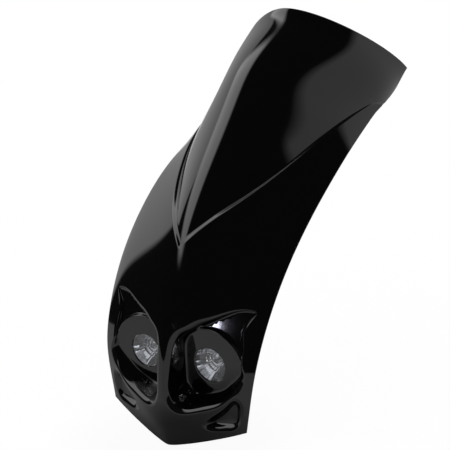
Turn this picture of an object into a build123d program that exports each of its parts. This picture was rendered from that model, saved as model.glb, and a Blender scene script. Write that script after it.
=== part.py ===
from build123d import *
from collections import namedtuple
from math import cos, sin, pi, hypot, radians
import os

# Twin-headlight fairing for a motorcycle, in millimetres.
# A one-piece gloss shell carries two reflector lamps in deep eye-shaped pockets.
# The front faces -Y, +X is the viewer's right and +Z is up.
# The origin is the middle of the four fixing studs, on the back face of the lamp floor.

# Shell
wall = 3.0
floor_wall = 3.0
skirt = 60.0
overrun = 0.12
deep_reach = 400.0
cut_past = 1.0
core_inset = 24.0
trim_depth = 40.0
trim_below = (16, 90)
trim_above = (60, 52)
recess_reach = 100.0
chin_backing_width = 114.0
chin_backing_start = 37.0

# Lamps: both face straight ahead, side by side
lamp_pitch = 106.6
lamp_diameter = 50.0
lamp_clearance = 0.4
lip_width = 1.2
lip_thickness = 1.0
glass_thickness = 1.2
glass_inset = 0.5
rim_depth = 2.4
bowl_depth = 27.0
neck_length = 9.0
neck_diameter = 19.0
neck_bore = 12.0
bowl_wall = 1.4
bowl_mouth_slope = (0.35, 1)
bowl_neck_slope = (1, 0.45)
capsule_diameter = 9.0
capsule_length = 17.0
foot_diameter = 7.0
foot_length = 4.0
foot_taper = 2.0
base_length = 8.0
pin_spacing = 5.33
pin_diameter = 1.5
pin_length = 7.5
pin_seat = 5.0
pin_clearance = 0.1
pin_end_gap = 0.5
socket_width = 18.0
socket_height = 10.0
socket_depth = 10.0
socket_corner = 2.0
lead_hole = 2.0
collar_height = 4.0
collar_width = 7.6
gasket_width = 1.8
clamp_thickness = 2.5
clamp_overlap = 0.55
clamp_screws = 3
screw_diameter = 3.0
screw_clearance = 0.2
screw_depth = 5.0
head_diameter = 5.6
head_height = 2.0
socket_drive = 2.5
drive_depth = 1.2

# Fixing studs on the back of the lamp floor
stud_spacing_x = 56.0
stud_spacing_z = 68.0
stud_diameter = 6.0
stud_length = 16.0
stud_flange_diameter = 15.0
stud_flange_thickness = 1.6
stud_chamfer = 0.6

# Pockets, as front-view corners (x, z, corner radius) on the lamp floor and at the nose depth
nose_depth = 40.0
mouth_reach = 1.8
pocket_floor = [(115, 77, 5), (86, 75, 30), (39, 50, 12), (22, 37, 8), (13.5, 22, 8),
                (13.5, -47, 8), (50, -47, 12), (88, -20, 22), (104, -4, 10), (104, 50, 20)]
pocket_mouth = [(115, 77, 5), (86, 76, 30), (36, 58, 20), (13, 50, 14), (7.5, 22, 14),
                (7.5, -56, 12), (62, -57, 20), (107, -44, 22), (118, -14, 10), (104, 50, 20)]
boss_radius = 51.0
facet_points = [(30, 0, 50), (109, 0, 5), (113.5, 27, 74)]

# Scoops below the pockets
scoop_corners = [(51, -79, 3), (98, -29, 7), (109, -45, 9), (101, -76, 11)]
scoop_floor = [(55, -20, -72), (98, -12, -34), (100, -14.5, -72)]

# Outline stations: the centre line and the side edge are (y, z) points seen from the side
Station = namedtuple("Station", "centre edge half_width nose_flat edge_angle edge_pull")
body_stations = [
    Station((-39, -113.5), (-13, -80), 110.5, 0.12, 28.5, 0.29),
    Station((-46, -50), (-5.5, -5), 122, 0.26, 33, 0.23),
    Station((-35, 21), (14.5, 45), 127.5, 0.10, 41, 0.18),
    Station((-1, 106), (58, 107), 133.5, 0.14, 47, 0.22),
    Station((32, 165), (116, 161), 138.5, 0.20, 44, 0.26),
    Station((92, 228), (203, 216), 142, 0.18, 49, 0.31),
    Station((176, 302), (299, 256), 139.5, 0.23, 65, 0.49),
    Station((232, 347), (427, 308), 140.5, 0.25, 74, 0.59),
]
screen_stations = [
    Station((14, 131), (76, 118), 76, 0.31, 39, 0.60),
    Station((24, 148), (87, 125.5), 82, 0.31, 39, 0.60),
    Station((98, 243), (154, 172), 107, 0.30, 52, 0.475),
    Station((175, 322), (231, 229.5), 123, 0.28, 53.5, 0.49),
    Station((253, 386), (339.5, 266.5), 136, 0.36, 69, 0.485),
    Station((332, 435), (463, 329), 145.5, 0.36, 84, 0.455),
]
side_corner = (463, 329)

# The V notch in the body that the screen rises out of, seen square to the screen
notch_origin = (22, 148)
notch_slope = 45.0
notch_arms = [(54.5, 84), (117, 261), (147, 412)]


def station_plane(station):
    """The plane through a station's centre point and both side edges."""
    cy, cz = station.centre
    ey, ez = station.edge
    inward = Vector(0, ey - cy, ez - cz)
    across = Vector(1, 0, 0)
    return Plane(origin=(0, cy, cz), x_dir=across, z_dir=across.cross(inward))


def half_curve(station, inset):
    """Bezier control points of a station's right half, moved inwards by the inset."""
    cy, cz = station.centre
    ey, ez = station.edge
    depth = hypot(ey - cy, ez - cz)
    width = station.half_width
    angle = radians(station.edge_angle)
    pull = station.edge_pull * width
    end = Vector(width - inset * sin(angle), depth + inset * cos(angle))
    return [
        Vector(0, inset),
        Vector(station.nose_flat * width, inset),
        end - pull * Vector(cos(angle), sin(angle)),
        end,
    ]


def section(station, inset, tail):
    """Closed section at a station: the curve, a straight skirt behind each edge and a deep back."""
    points = half_curve(station, inset)
    angle = radians(station.edge_angle)
    skirt_end = points[-1] + skirt * Vector(cos(angle), sin(angle))
    back_end = skirt_end + Vector(0, tail)
    mirrored = [Vector(-p.X, p.Y) for p in points]
    skirt_mirror = Vector(-skirt_end.X, skirt_end.Y)
    back_mirror = Vector(-back_end.X, back_end.Y)
    edges = [
        Line(back_mirror, skirt_mirror),
        Line(skirt_mirror, mirrored[-1]),
        Bezier(*reversed(mirrored)),
        Bezier(*points),
        Line(points[-1], skirt_end),
        Line(skirt_end, back_end),
        Line(back_end, back_mirror),
    ]
    return station_plane(station) * make_face(Wire(edges))


def beyond(near, far):
    """A station past the last one, in line with the one before it."""
    def extend(a, b):
        return b + overrun * (b - a)

    def extend_point(a, b):
        return tuple(extend(p, q) for p, q in zip(a, b))

    return Station(
        extend_point(near.centre, far.centre),
        extend_point(near.edge, far.edge),
        extend(near.half_width, far.half_width),
        far.nose_flat, far.edge_angle, far.edge_pull,
    )


def form(stations, inset=0.0, tail=wall):
    """Solid lofted through the stations and a little past both ends."""
    ends = [beyond(stations[1], stations[0])] + list(stations) + [beyond(stations[-2], stations[-1])]
    return loft([section(s, inset, tail) for s in ends])


def rounded_outline(corners, plane):
    """Closed outline with one radius at each corner."""
    points = [(x, z) for x, z, r in corners]
    return plane * make_face(FilletPolyline(*points, radius=[r for x, z, r in corners], close=True))


def outline_on(y, corners):
    """Front-view outline placed on the plane at depth y."""
    front_plane = Plane(origin=(0, y, 0), x_dir=(1, 0, 0), z_dir=(0, -1, 0))
    return rounded_outline(corners, front_plane)


def between(near, far, share):
    """Corners a share of the way from one outline to the other."""
    return [tuple(a + share * (b - a) for a, b in zip(p, q)) for p, q in zip(near, far)]


def behind(points, shift):
    """Block of space behind the plane through three points, moved back by the shift."""
    a, b, c = [Vector(*p) for p in points]
    normal = (b - a).cross(c - a).normalized()
    if normal.Y < 0:
        normal = -normal
    plane = Plane(origin=a + shift * normal, z_dir=normal)
    return plane * Box(deep_reach, deep_reach, deep_reach / 2, align=(Align.CENTER, Align.CENTER, Align.MIN))


def pocket_space(grow):
    """Room inside the right pocket, or with grow set, the same grown by a wall."""
    floor_y = grow - floor_wall
    floor = offset(outline_on(floor_y, pocket_floor), grow)
    mouth = offset(outline_on(-floor_wall - mouth_reach * nose_depth,
                              between(pocket_floor, pocket_mouth, mouth_reach)), grow)
    front = loft([mouth, floor], ruled=True)
    deep = extrude(floor, amount=nose_depth, dir=(0, 1, 0))
    boss = lamp_rod(boss_radius - grow, floor_y - cut_past, floor_y + 2 * nose_depth)
    facet = behind([(x, y - floor_wall, z) for x, y, z in facet_points], grow)
    return front + (deep - boss - facet)


def scoop_space(grow):
    """Room inside the right scoop, or with grow set, the same grown by a wall."""
    outline = offset(outline_on(-nose_depth - wall, scoop_corners), grow)
    well = extrude(outline, amount=2 * nose_depth, dir=(0, 1, 0))
    return well - behind(scoop_floor, grow)


def lathe(profile):
    """Solid turned about the right lamp's axis from (radius, y) points."""
    face = make_face(Polyline(*[(lamp_x + r, y) for r, y in profile], close=True))
    return revolve(face, Axis((lamp_x, 0, 0), (0, 1, 0)), 360)


def lamp_rod(radius, y_start, y_end):
    """Cylinder on the right lamp's axis."""
    return lathe([(0, y_start), (radius, y_start), (radius, y_end), (0, y_end)])


def rod(x, z, radius, y_start, y_end):
    """Cylinder along Y at a point of the front view."""
    return Pos(x, y_start, z) * Rot(-90, 0, 0) * Cylinder(
        radius, y_end - y_start, align=(Align.CENTER, Align.CENTER, Align.MIN))


# Values worked out from the sizes above
lamp_x = lamp_pitch / 2
lamp_radius = lamp_diameter / 2
seat_radius = lamp_radius + lamp_clearance
lip_radius = lamp_radius - lip_width
glass_y = -floor_wall + lip_thickness
rim_y = glass_y + glass_thickness
shoulder_y = rim_y + rim_depth
collar_radius = seat_radius + collar_width
bowl_mouth = lamp_radius - bowl_wall
gasket_bore = lamp_radius - gasket_width
neck_y = rim_y + bowl_depth
base_y = neck_y + neck_length
clamp_bore = gasket_bore - clamp_overlap
screw_circle = (seat_radius + collar_radius) / 2
screw_angles = [180 + 360 * i / clamp_screws for i in range(clamp_screws)]
pin_places = [lamp_x - pin_spacing / 2, lamp_x + pin_spacing / 2]
stud_sites = [(sx * stud_spacing_x / 2, sz * stud_spacing_z / 2)
              for sz in (1, -1) for sx in (-1, 1)]


def screw_points():
    """Screw centres round the right lamp, as (x, z)."""
    return [(lamp_x + screw_circle * cos(radians(a)), screw_circle * sin(radians(a)))
            for a in screw_angles]


def notch_space(grow):
    """V-shaped prism square to the screen, grown by a wall."""
    square = Plane(origin=(0, *notch_origin), x_dir=(1, 0, 0),
                   z_dir=(0, sin(radians(notch_slope)), -cos(radians(notch_slope))))
    tip = (0, grow)
    right = [(x + grow, -s) for x, s in notch_arms]
    left = [(-x, y) for x, y in right]
    outline = [Spline(tip, *right), Line(right[-1], left[-1]), Spline(tip, *left)]
    return extrude(square * make_face(Wire(outline)), amount=deep_reach, both=True)


def side_trim():
    """Everything behind the side edges, cut to the side view."""
    edge = [s.edge for s in body_stations] + [side_corner]
    low = (edge[0][0] - trim_below[0], edge[0][1] - trim_below[1])
    high = (edge[-1][0] + trim_above[0], edge[-1][1] + trim_above[1])
    far = 2 * deep_reach
    curve = Spline(low, *edge, high)
    back = Polyline(high, (far, high[1]), (far, low[1]), low)
    face = Plane.YZ * make_face(Wire([curve, *back.edges()]))
    return extrude(face, amount=deep_reach, both=True)


def end_trim(station, side):
    """Everything past a station's plane."""
    depth = hypot(station.edge[0] - station.centre[0], station.edge[1] - station.centre[1])
    block = Box(deep_reach, 2 * depth + skirt, trim_depth, align=(Align.CENTER, Align.CENTER, side))
    return station_plane(station) * block


def both_sides(piece):
    """The piece and its mirror image."""
    return piece + mirror(piece, Plane.YZ)


def room_behind():
    """Everything behind the body's face, carried on below and behind the chin."""
    chin = station_plane(body_stations[0])
    block = Box(2 * chin_backing_width, recess_reach, recess_reach, align=(Align.CENTER, Align.MIN, Align.MAX))
    return form(body_stations, 0, recess_reach) + chin * Pos(0, chin_backing_start, 0) * block


def fairing_shell():
    """The moulded shell: body, screen, pockets, scoops and lamp collars in one."""
    outer = form(body_stations) - notch_space(0) + form(screen_stations)
    body_room = form(body_stations, wall, 2 * wall) - notch_space(wall)
    inner = body_room + form(screen_stations, wall, 2 * wall) + form(body_stations, core_inset, 2 * wall)
    skin = outer - inner - side_trim()
    skin = skin - end_trim(body_stations[0], Align.MAX) - end_trim(screen_stations[-1], Align.MIN)
    recesses = pocket_space(floor_wall) + scoop_space(wall)
    collar = lamp_rod(collar_radius, -floor_wall / 2, collar_height)
    shell = skin + (both_sides(recesses) & room_behind()) + both_sides(collar)
    shell = shell - both_sides(pocket_space(0)) - both_sides(scoop_space(0))
    shell = shell - both_sides(lamp_rod(lip_radius, -2 * floor_wall, collar_height + cut_past))
    shell = shell - both_sides(lamp_rod(seat_radius, glass_y, collar_height + cut_past))
    for x, z in screw_points():
        hole = rod(x, z, screw_diameter / 2, collar_height - screw_depth, collar_height + cut_past)
        shell = shell - both_sides(hole)
    for x, z in stud_sites:
        shell = shell - rod(x, z, stud_flange_diameter / 2, -stud_flange_thickness, cut_past)
    return shell


def lamp_glass():
    return lamp_rod(lamp_radius - glass_inset, glass_y, rim_y)


def lamp_reflector():
    """Bowl, rim and neck of the reflector, with its bore open at the back."""
    throat = neck_bore / 2
    neck = neck_diameter / 2
    mouth_x, mouth_y = bowl_mouth_slope
    neck_x, neck_y_slope = bowl_neck_slope
    outside = [
        Line((bowl_mouth, rim_y), (lamp_radius, rim_y)),
        Line((lamp_radius, rim_y), (lamp_radius, shoulder_y)),
        Line((lamp_radius, shoulder_y), (gasket_bore, shoulder_y)),
        Spline((gasket_bore, shoulder_y), (neck, neck_y), tangents=[(-mouth_x, mouth_y), (-neck_x, neck_y_slope)]),
        Line((neck, neck_y), (neck, base_y)),
        Line((neck, base_y), (throat, base_y)),
        Line((throat, base_y), (throat, neck_y - bowl_wall)),
        Spline((throat, neck_y - bowl_wall), (bowl_mouth, rim_y), tangents=[(neck_x, -neck_y_slope), (mouth_x, -mouth_y)]),
    ]
    face = Pos(lamp_x, 0, 0) * make_face(Wire(outside))
    return revolve(face, Axis((lamp_x, 0, 0), (0, 1, 0)), 360)


def lamp_base():
    """Ceramic plug in the neck, with blind holes for the pins."""
    plug = lamp_rod(neck_bore / 2, base_y - base_length, base_y)
    for x in pin_places:
        plug -= rod(x, 0, pin_diameter / 2, base_y - pin_seat, base_y + cut_past)
    return plug


def lamp_capsule():
    """Sealed quartz capsule: domed tube with a pinched foot on the base."""
    r = capsule_diameter / 2
    foot_r = foot_diameter / 2
    foot = base_y - base_length
    tip = foot - capsule_length
    pinch = foot - foot_length
    tube = pinch - foot_taper
    edges = [
        Line((0, foot), (foot_r, foot)),
        Line((foot_r, foot), (foot_r, pinch)),
        Line((foot_r, pinch), (r, tube)),
        Line((r, tube), (r, tip + r)),
        ThreePointArc((r, tip + r), (r * cos(pi / 4), tip + r - r * sin(pi / 4)), (0, tip)),
        Line((0, tip), (0, foot)),
    ]
    face = Pos(lamp_x, 0, 0) * make_face(Wire(edges))
    return revolve(face, Axis((lamp_x, 0, 0), (0, 1, 0)), 360)


def lamp_pins():
    return [rod(x, 0, pin_diameter / 2, base_y - pin_seat, base_y + pin_length) for x in pin_places]


def lamp_socket():
    """Ceramic block that takes the two pins, with two lead holes at the back."""
    block = Box(socket_width, socket_depth, socket_height, align=(Align.CENTER, Align.MIN, Align.CENTER))
    block = fillet(block.edges().filter_by(Axis.Y), socket_corner)
    block = Pos(lamp_x, base_y, 0) * block
    for x in pin_places:
        block -= rod(x, 0, pin_diameter / 2 + pin_clearance, base_y - cut_past, base_y + pin_length + pin_end_gap)
        block -= rod(x, 0, lead_hole / 2, base_y + pin_length, base_y + socket_depth + cut_past)
    return block


def lamp_gasket():
    """Rubber ring between the lamp's shoulder and the clamp ring."""
    return lathe([(gasket_bore, shoulder_y), (lamp_radius, shoulder_y),
                  (lamp_radius, collar_height), (gasket_bore, collar_height)])


def clamp_ring():
    """Flat ring screwed to the collar, holding the lamp from behind."""
    top = collar_height + clamp_thickness
    ring = lathe([(clamp_bore, collar_height), (collar_radius, collar_height),
                  (collar_radius, top), (clamp_bore, top)])
    for x, z in screw_points():
        ring -= rod(x, z, screw_diameter / 2 + screw_clearance, collar_height - cut_past, top + cut_past)
    return ring


def clamp_screw(x, z):
    """Pan-head screw with a hexagon socket."""
    seat = collar_height + clamp_thickness
    shank = rod(x, z, screw_diameter / 2, collar_height - screw_depth, seat)
    head = rod(x, z, head_diameter / 2, seat, seat + head_height)
    head = fillet(head.edges().sort_by(Axis.Y)[-1], head_height * 0.35)
    drive = Plane(origin=(x, seat + head_height, z), z_dir=(0, 1, 0)) * RegularPolygon(socket_drive / 2, 6)
    return shank + head - extrude(drive, amount=-drive_depth)


def fixing_stud(x, z):
    """Threaded stud on a round flange that is bonded flush into the back of the lamp floor."""
    flange = rod(x, z, stud_flange_diameter / 2, -stud_flange_thickness, 0)
    shank = rod(x, z, stud_diameter / 2, -stud_flange_thickness / 2, stud_length)
    shank = chamfer(shank.edges().sort_by(Axis.Y)[-1], stud_chamfer)
    return flange + shank


def write(name, shape):
    export_step(shape, f"parts/{name}.step")


def write_pair(name, solids):
    """Write a piece for the right lamp and its mirror image for the left."""
    solids = solids if isinstance(solids, list) else [solids]
    right = solids[0] if len(solids) == 1 else Compound(children=solids)
    mirrored = [mirror(s, Plane.YZ) for s in solids]
    left = mirrored[0] if len(mirrored) == 1 else Compound(children=mirrored)
    write(f"{name}_right", right)
    write(f"{name}_left", left)


os.makedirs("parts", exist_ok=True)
write("fairing_shell", fairing_shell())
write_pair("lamp_glass", lamp_glass())
write_pair("lamp_reflector", lamp_reflector())
write_pair("lamp_base", lamp_base())
write_pair("lamp_capsule", lamp_capsule())
write_pair("lamp_pins", lamp_pins())
write_pair("lamp_socket", lamp_socket())
write_pair("lamp_gasket", lamp_gasket())
write_pair("clamp_ring", clamp_ring())
write_pair("clamp_screws", [clamp_screw(x, z) for x, z in screw_points()])
for (x, z), place in zip(stud_sites, ["upper_left", "upper_right", "lower_left", "lower_right"]):
    write(f"fixing_stud_{place}", fixing_stud(x, z))
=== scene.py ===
import bpy
import bmesh
import math
import numpy as np
from mathutils import Vector, Matrix, geometry


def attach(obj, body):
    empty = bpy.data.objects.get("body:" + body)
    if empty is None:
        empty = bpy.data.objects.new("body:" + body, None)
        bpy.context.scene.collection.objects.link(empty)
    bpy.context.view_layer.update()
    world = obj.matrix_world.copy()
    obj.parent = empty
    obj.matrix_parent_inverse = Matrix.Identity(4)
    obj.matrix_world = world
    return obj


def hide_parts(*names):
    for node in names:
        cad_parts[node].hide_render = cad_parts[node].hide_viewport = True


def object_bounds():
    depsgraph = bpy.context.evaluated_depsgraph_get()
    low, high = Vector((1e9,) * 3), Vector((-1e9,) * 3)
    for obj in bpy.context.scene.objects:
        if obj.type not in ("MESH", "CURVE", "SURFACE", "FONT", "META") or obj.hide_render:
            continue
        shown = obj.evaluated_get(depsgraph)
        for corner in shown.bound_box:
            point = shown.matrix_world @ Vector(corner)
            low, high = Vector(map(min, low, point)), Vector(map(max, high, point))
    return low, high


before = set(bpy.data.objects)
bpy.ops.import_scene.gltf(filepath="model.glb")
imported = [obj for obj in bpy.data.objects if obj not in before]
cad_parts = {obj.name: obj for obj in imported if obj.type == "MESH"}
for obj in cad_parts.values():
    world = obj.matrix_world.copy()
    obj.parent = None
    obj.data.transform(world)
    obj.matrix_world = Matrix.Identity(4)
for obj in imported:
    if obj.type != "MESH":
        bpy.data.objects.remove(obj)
cadBox = [list(corner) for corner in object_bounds()]
print("frame loaded, nodes:", len(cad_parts))

mm = 0.001

# The shell's sizes in millimetres: x to the viewer's right, y back, z up.
# A station is centre y, z, side edge y, z, half width, nose flat, edge angle, edge pull
shell = {
    "wall": 2.97,     # a hair thinner than the solid's 3
    "skirt": 60.0,
    "overrun": 0.12,
    "body": [
        (-39, -113.5, -13, -80, 110.5, 0.12, 28.5, 0.29),
        (-46, -50, -5.5, -5, 122, 0.26, 33, 0.23),
        (-35, 21, 14.5, 45, 127.5, 0.10, 41, 0.18),
        (-1, 106, 58, 107, 133.5, 0.14, 47, 0.22),
        (32, 165, 116, 161, 138.5, 0.20, 44, 0.26),
        (92, 228, 203, 216, 142, 0.18, 49, 0.31),
        (176, 302, 299, 256, 139.5, 0.23, 65, 0.49),
        (232, 347, 427, 308, 140.5, 0.25, 74, 0.59),
    ],
    "screen": [
        (14, 131, 76, 118, 76, 0.31, 39, 0.60),
        (24, 148, 87, 125.5, 82, 0.31, 39, 0.60),
        (98, 243, 154, 172, 107, 0.30, 52, 0.475),
        (175, 322, 231, 229.5, 123, 0.28, 53.5, 0.49),
        (253, 386, 339.5, 266.5, 136, 0.36, 69, 0.485),
        (332, 435, 463, 329, 145.5, 0.36, 84, 0.455),
    ],
    # the V: its tip as y and z, its arm as x and the run along it, then the step's width by run
    "notchOrigin": (22, 148),
    "notchArms": [(0, 0), (54.5, 84), (117, 261), (147, 412)],
    "stepWidth": [(0, 2.0), (25, 5.0), (50, 6.5), (90, 5.0), (160, 2.5), (420, 1.5)],
    "notchRound": 1.6,
    "footRound": 2.5,
    "tipLength": 16,
    "tipSlope": 0.3,
    "armLongest": 400,
    "edgeRound": 0.9,
    "edgeEase": 40,
    "settle": 84,
    "settleWidth": 44,
    "boxGap": 0.1,
    "weld": 0.03,
    "easeRings": 2,
    "easePasses": 25,
    "edgeTurns": (22, 45, 67, 90, 113, 135, 158),
    # how finely it is meshed
    "columns": 38,
    "armRows": 84,
    "topRows": 34,
    "lowerGrid": (40, 62),
    "lowerEdges": (56, 60, 64),
    "lowerGap": 1.6,
}

# Radii of a lamp's seat in the shell, and the depths of its lip and its collar's top
lamp = {"x": 53.3, "lip": 23.8, "seat": 25.4, "collar": 33.0, "plate": 34.2, "lipDepth": -2.0, "collarTop": 4.0}

# Rim points are front-view x, z; each floor point lies inside its own rim point
pocket = {
    "rimPoints": [(113.6, 74.3), (101, 77), (82, 73.3), (59, 64), (42, 58), (30, 51), (19, 44.5),
                  (13, 35), (10, 16), (8.6, -11), (9, -34), (16, -49), (25, -54), (54, -49), (77, -42),
                  (90, -32.5), (101.6, -18), (108, -4), (105, 8), (103.5, 34), (104.6, 60)],
    "floorPoints": [(112.4, 73.4), (100.5, 75.6), (82, 71.5), (59.5, 61), (43, 52.5), (32.5, 45.5), (24, 39),
                    (18.5, 30.5), (15.5, 15), (14.2, -10), (14.2, -30), (20, -42), (28, -46.5), (54, -42.5),
                    (74, -33), (85.5, -22.5), (97, -11), (103, -1), (103, 9.5), (102.2, 34), (103.2, 59.5)],
    "floorY": -3.0,
    "boss": 51.0,
    "bossLead": 0.5,
    "bossEase": 1.6,
    "spacing": 3.6,
    "arcs": (-1.4, -0.5, -0.1, 0.3, 0.7, 1.1, 2.0),
    "facet": [(30, -3, 50), (109, -3, 5), (113.5, 24, 74)],
    "rim": 6.5,
    "gapShare": 0.52,
    "floorRound": 2.5,
    "count": 300,
}

scoop = {
    "rimPoints": [(55, -74), (69, -57), (85, -44), (98.5, -33), (105, -38.6), (106.7, -51), (104, -63),
                  (96, -74.5), (78, -79), (60, -79)],
    "floorPoints": [(65, -73), (75, -63.5), (87, -52), (95, -44), (97.5, -46), (98, -54), (97.5, -62),
                    (95, -69.5), (82, -72.5), (68, -74)],
    "floor": [(55, -18.5, -72), (98, -9, -34), (100, -11.5, -72)],
    "rim": 3.2,
    "gapShare": 0.26,
    "floorRound": 1.0,
    "count": 150,
}

# Rounding of both recesses: rimShare and floorShare are of the depth, middleShare of the way to the centre line
recess = {"least": 0.4, "rimShare": 0.55, "middleShare": 0.72, "floorShare": 0.3, "evenPasses": 12,
          "rimTurns": 8, "wallShares": (0.34, 0.67, 1.0), "floorTurns": (30, 60, 90)}


# Control points of a half section; the last is the end of its skirt
def sectionPoles(station):
    cy, cz, ey, ez, width, flat, angle, pull = station
    centre = np.array([0.0, cy, cz])
    inward = np.array([0.0, ey - cy, ez - cz])
    depth = np.linalg.norm(inward)
    inward /= depth
    across = np.array([1.0, 0.0, 0.0])
    lean = math.cos(math.radians(angle)) * across + math.sin(math.radians(angle)) * inward
    end = centre + width * across + depth * inward
    return np.array([centre, centre + flat * width * across, end - pull * width * lean, end,
                     end + shell["skirt"] * lean])


def stationPast(near, far):
    grown = [f + shell["overrun"] * (f - n) for n, f in zip(near[:5], far[:5])]
    return tuple(grown) + tuple(far[5:])


# A cubic spline through the values, from its second slopes; a closed one has one more knot than values
def cubicAt(knots, values, bend, places):
    i = np.clip(np.searchsorted(knots, places, side="right") - 1, 0, len(knots) - 2)
    j = (i + 1) % len(values)
    a = (knots[i + 1] - places)[:, None]
    b = (places - knots[i])[:, None]
    k = a + b
    curved = (bend[i] * a ** 3 + bend[j] * b ** 3) / (6 * k)
    return curved + (values[i] / k - bend[i] * k / 6) * a + (values[j] / k - bend[j] * k / 6) * b


# A smooth surface through the stations: u runs from the centre line to the edge, v upwards
def makeSurface(stations):
    rows = [stationPast(stations[1], stations[0])] + list(stations)
    rows.append(stationPast(stations[-2], stations[-1]))
    poles = np.array([sectionPoles(row) for row in rows])
    skirt = poles[:, 4] - poles[:, 3]
    back = poles[:, 4] * np.array([1 / 3, 1, 1])
    spread = np.stack([poles[:, 0], poles[:, 1], poles[:, 2], poles[:, 3], poles[:, 3] + skirt / 3,
                       poles[:, 3] + skirt * 2 / 3] + [poles[:, 4]] * 4 + [back], axis=1)
    weight = np.array([1.0] + [2.0] * (spread.shape[1] - 1))
    step = np.sqrt(((np.diff(spread, axis=0) ** 2).sum(2) * weight).sum(1))
    t = np.concatenate([[0], np.cumsum(step)])
    t /= t[-1]
    values = poles[:, :4].reshape(len(t), -1)
    n = len(t)
    if n <= 8:
        factors = np.linalg.solve(np.vander(t * 2 - 1, n), values)

        def polesAt(v):
            return (np.vander(v * 2 - 1, n) @ factors).reshape(-1, 4, 3)
    else:
        gap = np.diff(t)
        left = np.zeros((n, n))
        right = np.zeros((n, values.shape[1]))
        left[0, 0] = left[-1, -1] = 1
        for i in range(1, n - 1):
            left[i, i - 1:i + 2] = gap[i - 1], 2 * (gap[i - 1] + gap[i]), gap[i]
            right[i] = 6 * ((values[i + 1] - values[i]) / gap[i] - (values[i] - values[i - 1]) / gap[i - 1])
        bend = np.linalg.solve(left, right)

        def polesAt(v):
            return cubicAt(t, values, bend, v).reshape(-1, 4, 3)

    def surface(u, v):
        u = np.atleast_1d(u).astype(float)
        v = np.atleast_1d(v).astype(float) + 0 * u
        u = u + 0 * v
        mix = np.stack([(1 - u) ** 3, 3 * u * (1 - u) ** 2, 3 * u * u * (1 - u), u ** 3], 1)
        return np.einsum("nk,nkc->nc", mix, polesAt(v))

    surface.places = t
    return surface


def surfaceNormal(surface, u, v):
    e = 1e-4
    across = surface(u + e, v) - surface(u - e, v)
    along = surface(u, v + e) - surface(u, v - e)
    return unit(np.cross(across, along))


def unit(vectors):
    return vectors / np.linalg.norm(vectors, axis=1)[:, None]


def frontView(p):
    return p[:, [0, 2]]


# The notch is drawn square to the screen: x across, s along it from the tip of the V
def notchView(p):
    oy, oz = shell["notchOrigin"]
    return np.stack([p[:, 0], ((p[:, 1] - oy) + (p[:, 2] - oz)) / math.sqrt(2)], 1)


search = {"columns": 50, "rows": 140, "rounds": 14, "stepU": 0.15, "stepV": 0.1, "mostU": 1.15}


# Where on the surface a pair of measures is met: from the nearest of a grid of seeds, then by Newton steps
def placeOn(surface, measure, target):
    key = measure.__name__
    if key not in surface.__dict__:
        u, v = [a.ravel() for a in np.meshgrid(np.linspace(0, 1.1, search["columns"]),
                                               np.linspace(0.005, 0.99, search["rows"]))]
        surface.__dict__[key] = (u, v, measure(surface(u, v)))
    seedU, seedV, seen = surface.__dict__[key]
    nearest = [((seen - point) ** 2).sum(1).argmin() for point in target]
    u, v = seedU[nearest], seedV[nearest]
    e = 1e-5
    for k in range(search["rounds"]):
        miss = measure(surface(u, v)) - target
        fu = (measure(surface(u + e, v)) - measure(surface(u - e, v))) / (2 * e)
        fv = (measure(surface(u, v + e)) - measure(surface(u, v - e))) / (2 * e)
        area = fu[:, 0] * fv[:, 1] - fu[:, 1] * fv[:, 0]
        area = np.where(np.abs(area) < 1e-9, 1e-9, area)
        du = (miss[:, 0] * fv[:, 1] - miss[:, 1] * fv[:, 0]) / area
        dv = (fu[:, 0] * miss[:, 1] - fu[:, 1] * miss[:, 0]) / area
        u = np.clip(u - np.clip(du, -search["stepU"], search["stepU"]), -0.02, search["mostU"])
        v = np.clip(v - np.clip(dv, -search["stepV"], search["stepV"]), 0.0, 1.0)
    return u, v


def easeIn(t):
    t = np.clip(t, 0, 1)
    return t * t * (3 - 2 * t)


bodySurface = makeSurface(shell["body"])
screenSurface = makeSurface(shell["screen"])


# Sheet points, faces and finished normals are gathered here before the mesh is made
class SheetPatch:
    def __init__(self):
        self.points = []
        self.normals = []
        self.rims = []
        self.faces = []

    def add(self, points, normals=None, rim=0.0):
        first = sum(len(p) for p in self.points)
        points = np.asarray(points, float)
        self.points.append(points)
        self.normals.append(np.zeros_like(points) if normals is None else np.asarray(normals, float))
        self.rims.append(np.full(len(points), rim))
        return first

    def grid(self, rows, columns, first, closed=False):
        width = columns if closed else columns - 1
        for i in range(rows - 1):
            for j in range(width):
                a = first + i * columns + j
                b = first + i * columns + (j + 1) % columns
                self.faces.append((a, b, b + columns, a + columns))

    def addFaces(self, first, faces):
        self.faces += [tuple(first + i for i in face) for face in faces]

    def merged(self):
        return np.concatenate(self.points), np.concatenate(self.normals), np.concatenate(self.rims)


# Smooth closed loops through lists of points; all lists share the spacing of the first
def smoothThrough(count, lead, *others):
    lead = np.array(lead, float)
    n = len(lead)
    gap = np.linalg.norm(np.roll(lead, -1, axis=0) - lead, axis=1) ** 0.8
    t = np.concatenate([[0], np.cumsum(gap)])
    left = np.zeros((n, n))
    for i in range(n):
        left[i, i - 1] += gap[i - 1]
        left[i, i] += 2 * (gap[i - 1] + gap[i])
        left[i, (i + 1) % n] += gap[i]
    fine = np.linspace(0, t[-1], 40 * n, endpoint=False)

    def through(points, places):
        points = np.array(points, float)
        ahead = (np.roll(points, -1, axis=0) - points) / gap[:, None]
        bend = np.linalg.solve(left, 6 * (ahead - np.roll(ahead, 1, axis=0)))
        return cubicAt(t, points, bend, places)

    rough = through(lead, fine)
    run = np.concatenate([[0], np.cumsum(np.linalg.norm(np.roll(rough, -1, axis=0) - rough, axis=1))])
    even = np.interp(np.linspace(0, run[-1], count, endpoint=False), run, np.append(fine, t[-1]))
    even = np.minimum(even, t[-1] - 1e-9)
    return [through(points, even) for points in (lead,) + others]


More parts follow.
